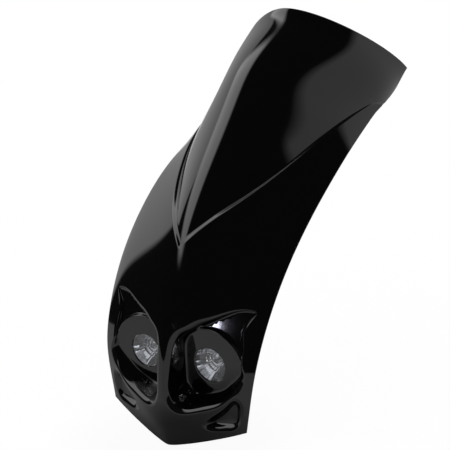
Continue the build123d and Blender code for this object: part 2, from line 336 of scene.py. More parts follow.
def loopOutwards(loop):
    ahead = unit(np.roll(loop, -1, axis=0) - np.roll(loop, 1, axis=0))
    outwards = np.stack([ahead[:, 1], -ahead[:, 0]], 1)
    area = (loop[:, 0] * np.roll(loop[:, 1], -1) - loop[:, 1] * np.roll(loop[:, 0], -1)).sum()
    return outwards if area > 0 else -outwards


def smoothLoop(values, passes):
    for k in range(passes):
        values = (np.roll(values, 1, axis=0) + 2 * values + np.roll(values, -1, axis=0)) / 4
    return values


def insideLoop(loop, points):
    x, z = points[:, 0], points[:, 1]
    inside = np.zeros(len(points), bool)
    for a, b in zip(loop, np.roll(loop, -1, axis=0)):
        crosses = (a[1] > z) != (b[1] > z)
        rise = b[1] - a[1] if abs(b[1] - a[1]) > 1e-12 else 1e-12
        inside ^= crosses & (x < a[0] + (z - a[1]) / rise * (b[0] - a[0]))
    return inside


def nearestGap(points, others):
    gap = np.full(len(points), 1e9)
    for other in others:
        gap = np.minimum(gap, ((points - other) ** 2).sum(1))
    return np.sqrt(gap)


# Triangles between an outer loop and any holes, over loose points inside
def fillLoop(outer, holes, loose):
    points = [outer] + holes
    edges = []
    first = 0
    for loop in points:
        edges += [(first + i, first + (i + 1) % len(loop)) for i in range(len(loop))]
        first += len(loop)
    every = np.vstack(points + ([loose] if len(loose) else []))
    result = geometry.delaunay_2d_cdt([Vector(p) for p in every], edges, [], 0, 1e-6)
    spots = np.array([v[:] for v in result[0]])
    faces = np.array([f for f in result[2] if len(f) == 3])
    middle = spots[faces].mean(1)
    keep = insideLoop(outer, middle)
    for hole in holes:
        keep &= ~insideLoop(hole, middle)
    faces = faces[keep]
    a, b, c = spots[faces[:, 0]], spots[faces[:, 1]], spots[faces[:, 2]]
    turned = (b[:, 0] - a[:, 0]) * (c[:, 1] - a[:, 1]) - (b[:, 1] - a[:, 1]) * (c[:, 0] - a[:, 0]) < 0
    faces[turned] = faces[turned][:, ::-1]
    return spots, faces


def planeThrough(corners):
    a, b, c = [np.array(p, float) for p in corners]
    normal = np.cross(b - a, c - a)

    def depth(points):
        return a[1] - (normal[0] * (points[:, 0] - a[0]) + normal[2] * (points[:, 1] - a[2])) / normal[1]
    return depth


pocketFacet = planeThrough(pocket["facet"])
scoopFacet = planeThrough(scoop["floor"])


# Depth of the pocket's floor: flat in front of the boss, dropping to the facet outside its arc
def pocketFloorDepth(points):
    distance = np.hypot(points[:, 0] - lamp["x"], points[:, 1])
    drop = np.maximum(0, pocketFacet(points) - pocket["floorY"])
    return pocket["floorY"] + drop * easeIn((distance - pocket["boss"] + pocket["bossLead"]) / pocket["bossEase"])


def bodyDepth(points):
    u, v = placeOn(bodySurface, frontView, points)
    return bodySurface(u, v)[:, 1]


# Points of a recess: x, depth, z
def ringAt(spot, depth):
    return np.stack([spot[:, 0], depth, spot[:, 1]], 1)


# Rings of one recess, from the body's surface round the rim, down the wall to the floor
def recessRings(rimLoop, wallAt, floorLoop, floorDepth, form, other):
    bottomDepth = floorDepth(floorLoop)
    deep = np.maximum(bottomDepth - bodyDepth(rimLoop), recess["least"])
    size = np.clip(recess["rimShare"] * deep, recess["least"], form["rim"])
    size = np.minimum(size, recess["middleShare"] * rimLoop[:, 0])
    room = form["gapShare"] * nearestGap(rimLoop, smoothThrough(other["count"], other["rimPoints"])[0])
    size = np.minimum(smoothLoop(np.minimum(size, room), recess["evenPasses"]), room)[:, None]
    outwards = unit(smoothLoop(loopOutwards(rimLoop), 2))
    rings = []
    for angle in np.linspace(0, math.pi / 2, recess["rimTurns"]):
        spot = rimLoop + outwards * size * (1 - math.sin(angle))
        depth = bodyDepth(spot) + size[:, 0] * (1 - math.cos(angle))
        spot = spot + math.sin(angle) ** 2 * (wallAt(depth) - rimLoop)
        rings.append(ringAt(spot, depth))
    small = np.minimum(form["floorRound"], recess["floorShare"] * deep)
    top = rings[-1][:, 1]
    low = np.maximum(bottomDepth - small, top)
    for share in recess["wallShares"]:
        depth = top + share * (low - top)
        rings.append(ringAt(wallAt(depth), depth))
    inwards = -smoothLoop(loopOutwards(floorLoop), 2) * small[:, None]
    goal = floorDepth(floorLoop + inwards)
    for angle in np.radians(recess["floorTurns"]):
        spot = floorLoop + inwards * (1 - math.cos(angle))
        rings.append(ringAt(spot, low + (goal - low) * math.sin(angle)))
    return rings


def recessOf(form, floorDepth, other):
    rim, floorLoop = smoothThrough(form["count"], form["rimPoints"], form["floorPoints"])
    rimDepth = bodyDepth(rim)
    bottomDepth = floorDepth(floorLoop)

    def wallAt(depth):
        share = np.clip((depth - rimDepth) / np.maximum(bottomDepth - rimDepth, 0.5), 0, 1)
        return rim + (floorLoop - rim) * share[:, None]

    return recessRings(rim, wallAt, floorLoop, floorDepth, form, other)


def addRecess(patch, rings):
    start = patch.add(rings[0], surfaceNormal(bodySurface, *placeOn(bodySurface, frontView, frontView(rings[0]))))
    for k, ring in enumerate(rings[1:], 1):
        patch.add(ring, None, 1.0 if k in (3, 4, 5) else 0.3 if k in (1, 2, 6) else 0.0)
    patch.grid(len(rings), len(rings[0]), start, closed=True)


def lampCircle(radius, count=96):
    angle = np.linspace(0, 2 * math.pi, count, endpoint=False)
    return np.stack([lamp["x"] + radius * np.cos(angle), radius * np.sin(angle)], 1)


def addPocketFloor(patch, loop):
    hole = lampCircle(lamp["plate"])
    low, high, gap = loop.min(0), loop.max(0), pocket["spacing"]
    gx, gz = np.meshgrid(np.arange(low[0], high[0], gap), np.arange(low[1], high[1], gap))
    gx[1::2] += gap / 2
    loose = np.stack([gx.ravel(), gz.ravel()], 1)
    distance = np.hypot(loose[:, 0] - lamp["x"], loose[:, 1])
    loose = loose[(distance > lamp["plate"] + 2) & (np.abs(distance - pocket["boss"]) > 2.4)]
    loose = np.vstack([loose] + [lampCircle(pocket["boss"] + reach, 260) for reach in pocket["arcs"]])
    loose = loose[insideLoop(loop, loose)]
    loose = loose[nearestGap(loose, loop) > 0.9]
    spots, faces = fillLoop(loop, [hole], loose)
    slopes = [(pocketFloorDepth(spots + e) - pocketFloorDepth(spots - e)) / 0.4 for e in np.eye(2) * 0.2]
    normals = unit(np.stack([slopes[0], -np.ones(len(spots)), slopes[1]], 1))
    normals[nearestGap(spots, loop) < 0.01] = 0
    patch.addFaces(patch.add(ringAt(spots, pocketFloorDepth(spots)), normals), faces)


def addScoopFloor(patch, loop):
    spots, faces = fillLoop(loop, [], np.zeros((0, 2)))
    patch.addFaces(patch.add(ringAt(spots, scoopFacet(spots))), faces)


def armX(s):
    places = np.array(shell["notchArms"][1:], float)
    factors = np.linalg.solve(np.stack([places[:, 1], places[:, 1] ** 2, places[:, 1] ** 3], 1), places[:, 0])
    return factors[0] * s + factors[1] * s ** 2 + factors[2] * s ** 3


# Points of the notch's right arm, moved sideways out of the notch or, below zero, into it
def armPoint(s, grow):
    slope = (armX(s + 0.1) - armX(s - 0.1)) / 0.2
    size = np.sqrt(1 + slope ** 2)
    share = easeIn(s / shell["tipLength"])
    tip = size / np.maximum(slope, shell["tipSlope"])
    x = armX(s) + grow * share / size
    along = s - grow * (share * slope / size + (1 - share) * tip)
    return np.stack([x, along], 1)


# Places on a surface along the arm, from the tip of the V to the side edge
def followArm(surface, grow, shares):
    s = np.linspace(0, shell["armLongest"], 101)
    u, v = placeOn(surface, notchView, armPoint(s, grow(s)))
    last = int(np.argmax(u > 1))
    end = s[last - 1] + (s[last] - s[last - 1]) * (1 - u[last - 1]) / (u[last] - u[last - 1])
    s = shares * end
    u, v = placeOn(surface, notchView, armPoint(s, grow(s)))
    u[0] = 0
    u[-1] = 1
    return u, v


def stepWidth(s):
    places = np.array(shell["stepWidth"], float)
    return np.interp(s, places[:, 0], places[:, 1])


def addUpperShell(patch):
    columns = shell["columns"]
    shares = np.linspace(0, 1, shell["armRows"] + 1) ** 1.2
    outerU, outerV = followArm(bodySurface, lambda s: shell["notchRound"] + 0 * s, shares)
    cornerPlace = followArm(bodySurface, lambda s: 0 * s, shares)
    footPlace = followArm(screenSurface, lambda s: -stepWidth(s), shares)
    innerU, innerV = followArm(screenSurface, lambda s: -stepWidth(s) - shell["footRound"], shares)
    lower = np.linspace(bodySurface.places[4], outerV[0], 20)[:-1]
    spread = np.linspace(0, 1, columns)
    rowsU = np.concatenate([np.zeros(len(lower)), outerU])
    rowsV = np.concatenate([lower, outerV])
    u = (rowsU[:, None] + (1 - rowsU[:, None]) * spread[None]).ravel()
    v = np.repeat(rowsV, columns)
    points = bodySurface(u, v)
    first = patch.add(points, surfaceNormal(bodySurface, u, v))
    patch.grid(len(rowsV), columns, first)
    joint = points[:columns]
    # the sloped step, rounded at its top and its foot
    top = bodySurface(outerU, outerV)
    corner = bodySurface(*cornerPlace)
    foot = screenSurface(*footPlace)
    inner = screenSurface(innerU, innerV)
    high = corner + 0.42 * (foot - corner)
    low = corner + 0.62 * (foot - corner)
    strip = []
    for t in (0, 0.25, 0.5, 0.75, 1):
        strip.append((1 - t) ** 2 * top + 2 * t * (1 - t) * corner + t * t * high)
    for t in (0, 0.33, 0.67, 1):
        strip.append((1 - t) ** 2 * low + 2 * t * (1 - t) * foot + t * t * inner)
    first = patch.add(strip[0], surfaceNormal(bodySurface, outerU, outerV))
    for k, row in enumerate(strip[1:-1]):
        patch.add(row, None, 1.0 if k in (0, 1, 2) else 0.0)
    patch.add(strip[-1], surfaceNormal(screenSurface, innerU, innerV))
    patch.grid(len(strip), len(shares), first)
    # the screen up to the end of the arms, then on to its lip
    higher = np.linspace(innerV[-1], screenSurface.places[-2], shell["topRows"])[1:]
    rowsU = np.concatenate([innerU, np.ones(len(higher))])
    rowsV = np.concatenate([innerV, higher])
    u = (rowsU[:, None] * spread[None]).ravel()
    v = np.repeat(rowsV, columns)
    lip = screenSurface(u, v)
    first = patch.add(lip, surfaceNormal(screenSurface, u, v))
    patch.grid(len(rowsV), columns, first)
    below = points[columns - 1::columns]
    edge = np.vstack([below, [row[-1] for row in strip[1:-1]], lip[columns - 1::columns][len(innerV) - 1:]])
    return joint, edge, len(below) + len(strip) // 2


# Moves the points near the end of the arm so the side edge runs smoothly past it
def settleEdge(points, edge, middle):
    run = np.concatenate([[0], np.cumsum(np.linalg.norm(np.diff(edge, axis=0), axis=1))])
    reach = shell["settle"]
    near = np.where(np.abs(run - run[middle]) < reach)[0]
    a, b = near[0], near[-1]
    length = np.linalg.norm(edge[b] - edge[a])
    startSlope = (edge[a] - edge[a - 2]) / (run[a] - run[a - 2]) * length
    endSlope = (edge[b + 2] - edge[b]) / (run[b + 2] - run[b]) * length
    t = ((run[near] - run[a]) / (run[b] - run[a]))[:, None]
    goal = ((2 * t ** 3 - 3 * t ** 2 + 1) * edge[a] + (t ** 3 - 2 * t ** 2 + t) * startSlope
            + (3 * t ** 2 - 2 * t ** 3) * edge[b] + (t ** 3 - t ** 2) * endSlope)
    shift = goal - edge[near]
    for i in np.where(np.abs(points - edge[middle]).max(1) < reach * 1.5)[0]:
        gap = np.linalg.norm(edge[near] - points[i], axis=1)
        pull = 1 / (gap ** 2 + 0.5) ** 2
        points[i] += pull @ shift / pull.sum() * easeIn(1 - gap.min() / shell["settleWidth"])
    return points


def addLowerShell(patch, joint, holes):
    low, high = bodySurface.places[1], bodySurface.places[4]
    chinCount, sideCount, middleCount = shell["lowerEdges"]
    chin = bodySurface(np.linspace(0, 1, chinCount), low)
    side = bodySurface(1.0, np.linspace(low, high, sideCount)[1:-1])
    middle = bodySurface(0.0, np.linspace(high, low, middleCount)[1:-1])
    outer = frontView(np.vstack([chin, side, joint[::-1], middle]))
    columns, rows = shell["lowerGrid"]
    u, v = np.meshgrid(np.linspace(0, 1, columns)[1:-1], np.linspace(low, high, rows)[1:-1])
    loose = frontView(bodySurface(u.ravel(), v.ravel()))
    for hole in holes:
        loose = loose[~insideLoop(hole, loose)]
        loose = loose[nearestGap(loose, hole) > shell["lowerGap"]]
    spots, faces = fillLoop(outer, holes, loose)
    u, v = placeOn(bodySurface, frontView, spots)
    patch.addFaces(patch.add(bodySurface(u, v), surfaceNormal(bodySurface, u, v)), faces)


# One half of the outer sheet, then its mirror image, welded along the middle
def outerSheet():
    patch = SheetPatch()
    joint, edge, middle = addUpperShell(patch)
    pocketRing = recessOf(pocket, pocketFloorDepth, scoop)
    scoopRing = recessOf(scoop, scoopFacet, pocket)
    addLowerShell(patch, joint, [frontView(pocketRing[0]), frontView(scoopRing[0])])
    addRecess(patch, pocketRing)
    addRecess(patch, scoopRing)
    addPocketFloor(patch, frontView(pocketRing[-1]))
    addScoopFloor(patch, frontView(scoopRing[-1]))
    points, normals, rims = patch.merged()
    points = settleEdge(points, edge, middle)
    points[:, 1] = np.minimum(points[:, 1], cadBox[1][1] / mm - shell["boxGap"])
    points[np.abs(points[:, 0]) < 0.02, 0] = 0
    sheet = bmesh.new()
    shade = sheet.verts.layers.float_vector.new("shade")
    rimLayer = sheet.verts.layers.float.new("rim")
    for side in (1, -1):
        for p, n, r in zip(points, normals, rims):
            vert = sheet.verts.new((side * p[0], p[1], p[2]))
            vert[shade] = (side * n[0], n[1], n[2])
            vert[rimLayer] = r
    sheet.verts.ensure_lookup_table()
    for offset, order in ((0, 1), (len(points), -1)):
        for face in patch.faces:
            sheet.faces.new([sheet.verts[offset + i] for i in face][::order])
    bmesh.ops.remove_doubles(sheet, verts=sheet.verts, dist=shell["weld"])
    bmesh.ops.dissolve_degenerate(sheet, dist=shell["weld"] / 6, edges=sheet.edges)
    bmesh.ops.holes_fill(sheet, edges=sheet.edges, sides=4)
    bmesh.ops.recalc_face_normals(sheet, faces=sheet.faces)
    facing = sum(f.normal.y * f.calc_area() for f in sheet.faces)
    if facing > 0:
        bmesh.ops.reverse_faces(sheet, faces=sheet.faces)
    sheet.verts.ensure_lookup_table()
    return sheet


# Ordered corner loops of the sheet's open edges, with the sheet on the left
def openLoops(sheet):
    follow = {}
    for edge in sheet.edges:
        if len(edge.link_faces) == 1:
            for loop in edge.link_faces[0].loops:
                if loop.edge == edge:
                    follow[loop.vert.index] = loop.link_loop_next.vert.index
    loops = []
    while follow:
        start = next(iter(follow))
        chain = [start]
        here = follow.pop(start)
        while here != start:
            chain.append(here)
            here = follow.pop(here)
        loops.append(chain)
    return loops


# The back of the wall, eased where tight corners would fold it over
def wallBack(points, normals, faces, loops, neighbours):
    back = points - normals * shell["wall"]
    ring = set()
    for face in faces:
        a, b, c = points[face[:3]]
        d, e, f = back[face[:3]]
        if np.dot(np.cross(b - a, c - a), np.cross(e - d, f - d)) < 0:
            ring.update(face)
    for k in range(shell["easeRings"]):
        ring |= {n for i in ring for n in neighbours[i]}
    ring -= {i for loop in loops for i in loop}
    for k in range(shell["easePasses"]):
        moved = {i: back[neighbours[i]].mean(0) for i in ring}
        for i, place in moved.items():
            back[i] = 0.5 * back[i] + 0.5 * place
    print("eased", len(ring), "points of the back")
    return back


# The seat of a lamp: front plate, lip, seat, collar and back
def seatRings(points, ordered):
    x = lamp["x"] if points[ordered].mean(0)[0] > 0 else -lamp["x"]
    spoke = points[ordered] - np.array([x, 0, 0])
    angle = np.arctan2(spoke[:, 2], spoke[:, 0])
    lip, seat, collar, top, ledge = [lamp[key] for key in ("lip", "seat", "collar", "collarTop", "lipDepth")]
    face = pocket["floorY"]
    profile = [(lip + 3.0, face), (lip + 1.0, face), (lip + 0.35, face + 0.1), (lip + 0.08, face + 0.35),
               (lip, face + 0.6), (lip, ledge), (seat, ledge), (seat, top), (seat + 0.4, top),
               (collar - 0.5, top), (collar, top - 0.5), (collar, 0.5), (collar + 0.5, -0.03)]
    rings = [np.stack([x + r * np.cos(angle), np.full(len(angle), y), r * np.sin(angle)], 1) for r, y in profile]
    return rings, [np.zeros_like(ring) for ring in rings], [0.0] * 6 + [1.0] * (len(rings) - 6)


# The free edge, rounded over from the front to the back; both faces draw in a little to make room
def edgeRings(points, back, normals, ordered):
    facing = unit(smoothLoop(normals[ordered], shell["edgeEase"]))
    back[ordered] = points[ordered] - facing * shell["wall"]
    ahead = points[np.roll(ordered, -1)] - points[np.roll(ordered, 1)]
    outwards = smoothLoop(unit(np.cross(ahead, facing)), 3)
    reach = shell["edgeRound"]
    points[ordered] -= outwards * reach
    back[ordered] -= outwards * reach
    centre = (points[ordered] + back[ordered]) / 2
    half = (points[ordered] - back[ordered]) / 2
    turns = np.radians(shell["edgeTurns"])
    rings = [centre + half * math.cos(a) + outwards * reach * math.sin(a) for a in turns]
    return rings, [facing * math.cos(a) + outwards * math.sin(a) for a in turns], [0.0] * 5 + [0.5, 1.0]


def buildShell():
    sheet = outerSheet()
    sheet.verts.index_update()
    sheet.faces.index_update()
    points = np.array([v.co[:] for v in sheet.verts])
    shade = sheet.verts.layers.float_vector["shade"]
    rimLayer = sheet.verts.layers.float["rim"]
    finished = np.array([v[shade][:] for v in sheet.verts])
    rims = np.array([v[rimLayer] for v in sheet.verts])
    plain = np.array([v.normal[:] for v in sheet.verts])
    normals = unit(np.where(np.linalg.norm(finished, axis=1)[:, None] > 0.5, finished, plain))
    faces = [[v.index for v in f.verts] for f in sheet.faces]
    loops = openLoops(sheet)
    neighbours = [[e.other_vert(v).index for e in v.link_edges] for v in sheet.verts]
    sheet.free()
    print("outer sheet:", len(points), "points, open loops", [len(loop) for loop in loops])
    count = len(points)
    back = wallBack(points, normals, faces, loops, neighbours)
    vertices = [points, back]
    shades = [normals, -normals]
    insides = [np.zeros(count), np.ones(count)]
    rimValues = [rims, np.zeros(count)]
    allFaces = faces + [[count + i for i in reversed(f)] for f in faces]
    total = 2 * count
    for loop in loops:
        ordered = np.array(loop)
        if np.ptp(points[ordered, 0]) < 4 * lamp["collar"]:
            rings, facings, inner = seatRings(points, ordered)
        else:
            rings, facings, inner = edgeRings(points, back, normals, ordered)
        levels = [ordered]
        for ring, facing, share in zip(rings, facings, inner):
            vertices.append(ring)
            shades.append(facing)
            insides.append(np.full(len(ring), share))
            rimValues.append(np.full(len(ring), 0.0 if share else 1.0))
            levels.append(total + np.arange(len(ring)))
            total += len(ring)
        levels.append(ordered + count)
        for near, far in zip(levels, levels[1:]):
            allFaces += np.stack([np.roll(near, -1), near, far, np.roll(far, -1)], 1).tolist()
    # the rounded edge of the screen's top stays inside the solid's box
    inBox = np.clip(np.concatenate(vertices), np.array(cadBox[0]) / mm, np.array(cadBox[1]) / mm)
    return inBox, np.concatenate(shades), np.concatenate(insides), np.concatenate(rimValues), allFaces


def meshPiece(name, points, faces, shades=None, **values):
    mesh = bpy.data.meshes.new(name)
    mesh.from_pydata([tuple(p) for p in np.asarray(points) * mm], [], [tuple(f) for f in faces])
    mesh.validate()
    mesh.polygons.foreach_set("use_smooth", [True] * len(mesh.polygons))
    for key, value in values.items():
        layer = mesh.attributes.new(key, "FLOAT", "POINT")
        layer.data.foreach_set("value", np.asarray(value, float))
    mesh.update()
    if shades is not None:
        plain = np.array([n.vector[:] for n in mesh.vertex_normals])
        final = unit(np.where(np.linalg.norm(shades, axis=1)[:, None] > 0.5, shades, plain))
        mesh.normals_split_custom_set_from_vertices([tuple(n) for n in final])
    piece = bpy.data.objects.new(name, mesh)
    bpy.context.scene.collection.objects.link(piece)
    return piece


points, shades, insides, rims, faces = buildShell()
mask = meshPiece("fairingMask", points, faces, shades, inside=insides, rim=rims)
print("fairing built:", len(mask.data.vertices), "points,", len(mask.data.polygons), "faces")


# A socket of a shader tree that takes part in Python sums
class ShadeValue:
    def __init__(self, maker, socket):
        self.maker = maker
        self.socket = socket

    def maths(self, operation, first, second):
        node = self.maker.node("ShaderNodeMath", {"operation": operation}, Value=first, Value_001=second)
        return self.maker.value(node)

    def __add__(self, other):
        return self.maths("ADD", self, other)

    __radd__ = __add__

    def __mul__(self, other):
        return self.maths("MULTIPLY", self, other)

    __rmul__ = __mul__

    def __sub__(self, other):
        return self.maths("SUBTRACT", self, other)

    def __rsub__(self, other):
        return self.maths("SUBTRACT", other, self)

    def __gt__(self, other):
        return self.maths("GREATER_THAN", self, other)

    def limited(self):
        value = self.maths("MAXIMUM", self, 0.0)
        return value.maths("MINIMUM", value, 1.0)


# Fills a node tree, for a finish, the surround or the studs' thread
class NodeMaker:
    def __init__(self, tree):
        self.tree = tree
        tree.nodes.clear()

    # Makes a node: settings first, then the values or links of its sockets, by identifier or name
    def node(self, kind, settings=None, **sockets):
        node = self.tree.nodes.new(kind)
        for key, value in (settings or {}).items():
            if key == "stops":
                while len(node.color_ramp.elements) < len(value):
                    node.color_ramp.elements.new(0.5)
                for stop, (position, colour) in zip(node.color_ramp.elements, value):
                    stop.position = position
                    stop.color = colour
            else:
                setattr(node, key, value)
        identifiers = {socket.identifier: socket for socket in node.inputs}
        for key, value in sockets.items():
            socket = identifiers[key] if key in identifiers else node.inputs[key.replace("_", " ")]
            for given in value if isinstance(value, list) else [value]:
                if isinstance(given, ShadeValue):
                    given = given.socket
                if isinstance(given, bpy.types.NodeSocket):
                    self.tree.links.new(given, socket)
                else:
                    socket.default_value = given
        return node

    def value(self, node, output=0):
        return ShadeValue(self, node.outputs[output])


class Finish(NodeMaker):
    def __init__(self, name):
        self.material = bpy.data.materials.new(name)
        self.material.use_nodes = True
        super().__init__(self.material.node_tree)
        self.place = self.node("ShaderNodeTexCoord").outputs["Object"]

    def noise(self, scale, detail=3.0, roughness=0.5):
        return self.value(self.node("ShaderNodeTexNoise", None, Vector=self.place, Scale=scale,
                                    Detail=detail, Roughness=roughness), "Fac")

    def attribute(self, name):
        return self.value(self.node("ShaderNodeAttribute", {"attribute_name": name}), "Fac")

    def ramp(self, factor, stops):
        return self.node("ShaderNodeValToRGB", {"stops": stops}, Fac=factor).outputs["Color"]

    def mix(self, factor, first, second):
        return self.node("ShaderNodeMix", {"data_type": "RGBA"}, Factor_Float=factor, A_Color=first,
                         B_Color=second).outputs[2]

    def bump(self, height, strength, distance):
        return self.node("ShaderNodeBump", None, Height=height, Strength=strength, Distance=distance).outputs[0]

    def surface(self, **sockets):
        shader = self.node("ShaderNodeBsdfPrincipled", None, **sockets)
        self.node("ShaderNodeOutputMaterial", None, Surface=shader.outputs[0])
        return self.material


# Gloss black outside, with a little dust and wear on the rims; raw fibre on the back
glossLook = {"black": (0.0014, 0.0014, 0.0016, 1), "worn": (0.012, 0.012, 0.013, 1), "wear": 0.25,
             "backDark": (0.3, (0.007, 0.007, 0.0075, 1)), "backPale": (0.75, (0.014, 0.014, 0.015, 1)),
             "gloss": 0.045, "dusty": 0.035, "rimHaze": 0.02, "backHaze": 0.40, "fibreHaze": 0.15,
             "waves": 0.5, "peel": 0.02, "fibre": 0.5, "bump": (0.2, 0.0004)}


def glossShellFinish():
    look = glossLook
    finish = Finish("glossBlackShell")
    back = finish.attribute("inside")
    rim = finish.attribute("rim")
    dust = finish.noise(220, 4, 0.6)
    waves = finish.noise(14, 1, 0.4)
    peel = finish.noise(1300, 2, 0.5)
    fibre = finish.noise(420, 5, 0.7)
    speck = (finish.noise(2600, 1, 0.5) > 0.78) * (1 - back)
    colour = finish.mix((rim * dust + speck) * look["wear"], look["black"], look["worn"])
    colour = finish.mix(back, colour, finish.ramp(fibre, [look["backDark"], look["backPale"]]))
    roughness = look["gloss"] + dust * look["dusty"] + rim * look["rimHaze"]
    roughness = roughness + back * (look["backHaze"] + fibre * look["fibreHaze"])
    height = waves * look["waves"] + peel * look["peel"] + back * fibre * look["fibre"]
    return finish.surface(Base_Color=colour, Roughness=roughness, IOR=1.5, Specular_IOR_Level=0.5,
                          Normal=finish.bump(height, *look["bump"]))


def coverGlassFinish():
    finish = Finish("coverGlass")
    smear = finish.noise(60, 4, 0.6)
    return finish.surface(Base_Color=(0.97, 0.985, 1.0, 1), Roughness=0.004 + smear * 0.012, IOR=1.48,
                          Transmission_Weight=1.0, Normal=finish.bump(smear, 0.03, 0.0002))


def quartzFinish():
    finish = Finish("quartz")
    return finish.surface(Base_Color=(1, 1, 1, 1), Roughness=finish.noise(300, 3, 0.5) * 0.05, IOR=1.46,
                          Transmission_Weight=1.0)


# Satin black paint, rubbed through to grey in places
def clampPaintFinish():
    finish = Finish("clampPaint")
    peel = finish.noise(800, 3, 0.5)
    rub = (finish.noise(130, 5, 0.65) > 0.66) * 0.6
    colour = finish.mix(rub, (0.018, 0.018, 0.019, 1), (0.10, 0.10, 0.105, 1))
    return finish.surface(Base_Color=colour, Roughness=0.32 + peel * 0.15, Metallic=rub * 0.5,
                          Normal=finish.bump(peel, 0.12, 0.0003))


# Finishes of two tones blended by a broad noise, with a fine grain in the bump. A noise is scale, detail and
# roughness; rough is the least roughness, then what each noise adds; bump is strength and distance
grainLooks = {
    "reflectorMirror": {"broad": (240, 3, 0.5), "fine": (900, 2, 0.5), "rough": (0.03, 0.09, 0), "metallic": 1,
                        "dark": (0.2, (0.74, 0.75, 0.79, 1)), "pale": (0.8, (0.90, 0.90, 0.92, 1)),
                        "bump": (0.05, 0.0002)},
    "tungsten": {"broad": (3000, 2, 0.5), "fine": (3000, 2, 0.5), "rough": (0.3, 0.2, 0), "metallic": 1,
                 "dark": (0.2, (0.20, 0.20, 0.21, 1)), "pale": (0.8, (0.38, 0.37, 0.36, 1)), "bump": (0, 0.0002)},
    "ceramic": {"broad": (90, 3, 0.5), "fine": (1500, 4, 0.6), "rough": (0.55, 0, 0.25), "metallic": 0,
                "dark": (0.25, (0.70, 0.66, 0.58, 1)), "pale": (0.75, (0.84, 0.81, 0.75, 1)),
                "bump": (0.15, 0.0003)},
    "pinMetal": {"broad": (900, 3, 0.5), "fine": (900, 3, 0.5), "rough": (0.22, 0.2, 0), "metallic": 1,
                 "dark": (0.2, (0.60, 0.56, 0.48, 1)), "pale": (0.8, (0.76, 0.73, 0.66, 1)), "bump": (0, 0.0002)},
    "sealRubber": {"broad": (1100, 4, 0.6), "fine": (1100, 4, 0.6), "rough": (0.65, 0, 0.25), "metallic": 0,
                   "dark": (0.2, (0.012, 0.012, 0.012, 1)), "pale": (0.8, (0.030, 0.030, 0.030, 1)),
                   "bump": (0.2, 0.0003)},
    "screwZinc": {"broad": (160, 4, 0.6), "fine": (1400, 3, 0.6), "rough": (0.24, 0.08, 0.16), "metallic": 1,
                  "dark": (0.3, (0.4464, 0.4464, 0.4608, 1)), "pale": (0.7, (0.62, 0.62, 0.64, 1)),
                  "bump": (0.1, 0.0002)},
    "studZinc": {"broad": (160, 4, 0.6), "fine": (1400, 3, 0.6), "rough": (0.24, 0.08, 0.16), "metallic": 1,
                 "dark": (0.3, (0.4752, 0.468, 0.432, 1)), "pale": (0.7, (0.66, 0.65, 0.60, 1)),
                 "bump": (0.1, 0.0002)},
}


def grainFinish(name):
    look = grainLooks[name]
    finish = Finish(name)
    broad = finish.noise(*look["broad"])
    fine = finish.noise(*look["fine"])
    least, broadShare, fineShare = look["rough"]
    return finish.surface(Base_Color=finish.ramp(broad, [look["dark"], look["pale"]]), Metallic=look["metallic"],
                          Roughness=least + broad * broadShare + fine * fineShare,
                          Normal=finish.bump(fine, *look["bump"]))


finishes = {name: grainFinish(name) for name in grainLooks}
finishes.update(coverGlass=coverGlassFinish(), quartz=quartzFinish(), clampPaint=clampPaintFinish())
print("finishes made:", len(finishes) + 1)


# The solids that stay, and the finish of each
kept = {"lamp_base_": "ceramic", "lamp_socket_": "ceramic", "lamp_pins_": "pinMetal",
        "lamp_gasket_": "sealRubber", "clamp_ring_": "clampPaint", "clamp_screws_": "screwZinc"}
for name, finish in kept.items():
    for side in ("left", "right"):
        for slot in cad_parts[name + side].material_slots:
            slot.material = finishes[finish]


def standFor(piece, node, slotName, *materials):
    for material in materials:
        piece.data.materials.append(material)
    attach(piece, "root")
    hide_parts(node)


standFor(mask, "fairing_shell", "gloss_shell", glossShellFinish())


# Closed shape turned about a line along y; the profile is radius, y pairs
def turned(profile, centre, steps):
    points = []
    rows = []
    for radius, depth in profile:
        if radius < 1e-6:
            rows.append([len(points)] * steps)
            points.append((centre[0], depth, centre[1]))
        else:
            rows.append(list(range(len(points), len(points) + steps)))
            for k in range(steps):
                angle = 2 * math.pi * k / steps
                points.append((centre[0] + radius * math.cos(angle), depth,
                               centre[1] + radius * math.sin(angle)))
    faces = []
    for a, b in zip(rows, rows[1:]):
        for k in range(steps):
            corners = list(dict.fromkeys([a[k], a[(k + 1) % steps], b[(k + 1) % steps], b[k]]))
            if len(corners) > 2:
                faces.append(corners)
    return points, faces


def faceOutwards(piece):
    shape = bmesh.new()
    shape.from_mesh(piece.data)
    bmesh.ops.remove_doubles(shape, verts=shape.verts, dist=1e-6)
    bmesh.ops.recalc_face_normals(shape, faces=shape.faces)
    shape.to_mesh(piece.data)
    shape.free()


lens = {"radius": 24.5, "front": -2.0, "back": -0.8, "edge": 0.35, "steps": 96}


def buildLens(side, sign):
    r, f, b, e = lens["radius"], lens["front"], lens["back"], lens["edge"]
    profile = [(0, f), (8, f), (16, f + 0.01), (r - e - 0.4, f + 0.03), (r - 0.3 * e, f + 0.12), (r, f + e),
               (r, b - e), (r - 0.3 * e, b - 0.12), (r - e - 0.4, b - 0.02), (16, b), (8, b), (0, b)]
    points, faces = turned(profile, (sign * lamp["x"], 0), lens["steps"])
    piece = meshPiece("coverLens" + side.capitalize(), points, faces)
    faceOutwards(piece)
    standFor(piece, "lamp_glass_" + side, "lamp_glass", finishes["coverGlass"])


# Faceted bowl: wedges near the rim, small staggered facets near the bulb
bowl = {"mouth": 23.6, "rim": 25.0, "front": -0.8, "shoulder": 1.6, "gasket": 23.2, "neckTop": 26.2,
        "neck": 9.5, "end": 35.2, "throat": 6.0, "throatTop": 24.8, "steps": 120, "flankSteps": 15,
        "sectors": 30, "facetRings": [6.0, 8.0, 10.4, 13.0, 16.2, 23.6], "bulge": 0.9, "sharp": 40}


